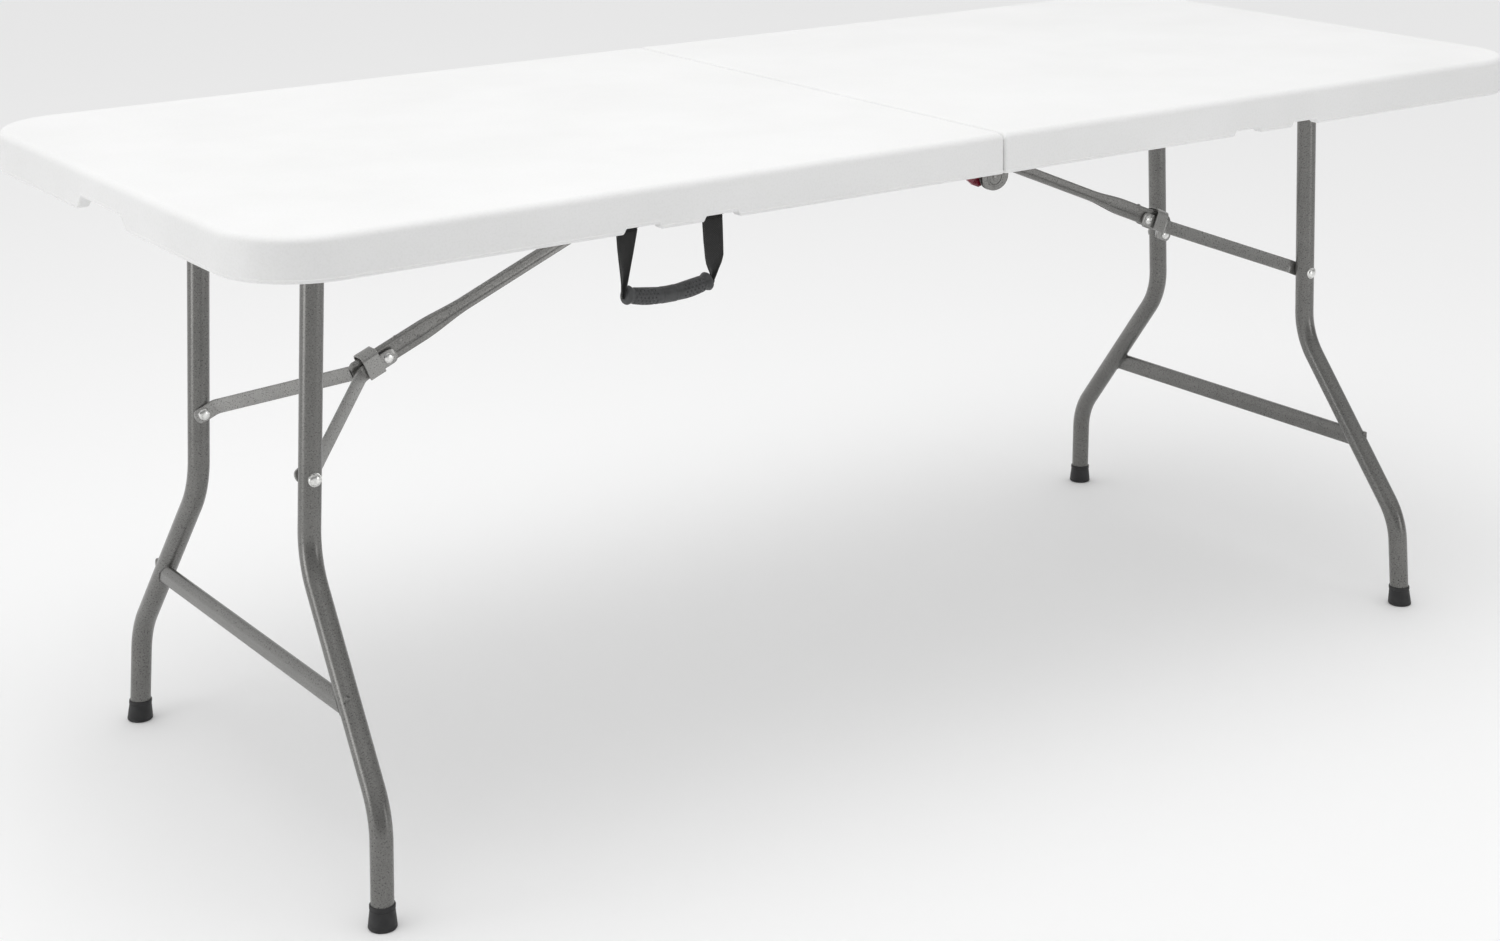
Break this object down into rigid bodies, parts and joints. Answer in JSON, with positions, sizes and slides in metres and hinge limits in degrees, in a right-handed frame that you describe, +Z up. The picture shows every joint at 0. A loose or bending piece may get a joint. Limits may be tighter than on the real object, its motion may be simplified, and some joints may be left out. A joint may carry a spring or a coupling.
{
  "type": "folding table",
  "caption": "Bi-fold utility table with a moulded plastic top on folding steel leg frames with locking knee braces and a carry handle.",
  "frame": {"origin": "on the floor under the middle of the table, where the plane of the seam meets the lengthwise middle plane", "axes": "+X along the table's length towards the half without the handle, -Y towards the long side with the handle, +Z up"},
  "size_m": [1.8, 0.755, 0.755],
  "materials": {
    "top_plastic": "satin moulded polyethylene",
    "frame_steel": "hammered grey powder coat",
    "bright_steel": "zinc plated",
    "cap_rubber": "matt moulded",
    "bush_nylon": "natural",
    "webbing": "woven webbing",
    "grip_plastic": "soft moulded, dimpled",
    "latch_plastic": "moulded"
  },
  "bodies": {
    "left_half": {"left_top": "top_plastic", "left_rail_front": "frame_steel", "left_rail_back": "frame_steel", "left_pivot_bush_front": "bush_nylon", "left_pivot_bush_back": "bush_nylon", "left_hinge_plate_front": "frame_steel", "left_hinge_plate_back": "frame_steel", "left_strut_bracket": "frame_steel", "left_strut_pin": "bright_steel", "hinge_pin_front": "frame_steel", "hinge_pin_back": "frame_steel", "hinge_washer_front": "bright_steel", "hinge_washer_back": "bright_steel", "handle_bail": "frame_steel", "latch_pin": "bright_steel"},
    "right_half": {"right_top": "top_plastic", "right_rail_front": "frame_steel", "right_rail_back": "frame_steel", "right_pivot_bush_front": "bush_nylon", "right_pivot_bush_back": "bush_nylon", "right_hinge_plate_front": "frame_steel", "right_hinge_plate_back": "frame_steel", "right_strut_bracket": "frame_steel", "right_strut_pin": "bright_steel"},
    "left_leg": {"left_pivot_tube": "frame_steel", "left_crossbar": "frame_steel", "left_leg_tube_front": "frame_steel", "left_leg_tube_back": "frame_steel", "left_foot_cap_front": "cap_rubber", "left_foot_cap_back": "cap_rubber", "left_leg_rivet_front": "bright_steel", "left_leg_rivet_back": "bright_steel"},
    "left_strut": {"left_brace_strut": "frame_steel"},
    "left_arms": {"left_brace_arm_front": "frame_steel", "left_brace_arm_back": "frame_steel", "left_arm_rivet_front": "bright_steel", "left_arm_rivet_back": "bright_steel", "left_knee_rivet": "bright_steel"},
    "left_ring": {"left_lock_ring": "frame_steel"},
    "right_leg": {"right_pivot_tube": "frame_steel", "right_crossbar": "frame_steel", "right_leg_tube_front": "frame_steel", "right_leg_tube_back": "frame_steel", "right_foot_cap_front": "cap_rubber", "right_foot_cap_back": "cap_rubber", "right_leg_rivet_front": "bright_steel", "right_leg_rivet_back": "bright_steel"},
    "right_strut": {"right_brace_strut": "frame_steel"},
    "right_arms": {"right_brace_arm_front": "frame_steel", "right_brace_arm_back": "frame_steel", "right_arm_rivet_front": "bright_steel", "right_arm_rivet_back": "bright_steel", "right_knee_rivet": "bright_steel"},
    "right_ring": {"right_lock_ring": "frame_steel"},
    "handle": {"handle_strap_left": "webbing", "handle_strap_right": "webbing", "handle_grip": "grip_plastic"},
    "latch": {"red_latch": "latch_plastic"}
  },
  "joints": [
    {"name": "table_fold", "type": "hinge", "parent": "left_half", "child": "right_half", "pos_m": [0, 0, 0.704], "axis": [0, 1, 0], "range_deg": [0, 90]},
    {"name": "left_leg_fold", "type": "hinge", "parent": "left_half", "child": "left_leg", "pos_m": [-0.7295, 0, 0.7235], "axis": [0, -1, 0], "range_deg": [0, 93.94]},
    {"name": "left_strut_swing", "type": "hinge", "parent": "left_half", "child": "left_strut", "pos_m": [-0.055, 0, 0.7305], "axis": [0, 1, 0], "range_deg": [0, 21.27]},
    {"name": "left_arms_swing", "type": "hinge", "parent": "left_strut", "child": "left_arms", "pos_m": [-0.5835, 0, 0.51039], "axis": [0, -1, 0], "range_deg": [0, 180.01]},
    {"name": "left_ring_slide", "type": "slide", "parent": "left_strut", "child": "left_ring", "axis": [0.9231, 0, 0.3845], "range_m": [0, 0.044]},
    {"name": "right_leg_fold", "type": "hinge", "parent": "right_half", "child": "right_leg", "pos_m": [0.7295, 0, 0.7235], "axis": [0, 1, 0], "range_deg": [0, 93.94]},
    {"name": "right_strut_swing", "type": "hinge", "parent": "right_half", "child": "right_strut", "pos_m": [0.055, 0, 0.7305], "axis": [0, -1, 0], "range_deg": [0, 21.27]},
    {"name": "right_arms_swing", "type": "hinge", "parent": "right_strut", "child": "right_arms", "pos_m": [0.5835, 0, 0.51039], "axis": [0, 1, 0], "range_deg": [0, 180.01]},
    {"name": "right_ring_slide", "type": "slide", "parent": "right_strut", "child": "right_ring", "axis": [-0.9231, 0, 0.3845], "range_m": [0, 0.044]},
    {"name": "handle_swing", "type": "hinge", "parent": "left_half", "child": "handle", "pos_m": [-0.429, -0.352, 0.7128], "axis": [1, 0, 0], "range_deg": [-85, 75]},
    {"name": "latch_swing", "type": "hinge", "parent": "left_half", "child": "latch", "pos_m": [-0.04, -0.3528, 0.7195], "axis": [0, 1, 0], "range_deg": [0, 30], "stiffness_Nm_per_rad": 0.01, "springref_deg": -17.19}
  ],
  "couplings": [
    {"joint": "left_strut_swing", "follows": "left_leg_fold", "ratio": 0.22629},
    {"joint": "left_arms_swing", "follows": "left_leg_fold", "ratio": 1.9161},
    {"joint": "right_strut_swing", "follows": "right_leg_fold", "ratio": 0.22629},
    {"joint": "right_arms_swing", "follows": "right_leg_fold", "ratio": 1.9161}
  ]
}
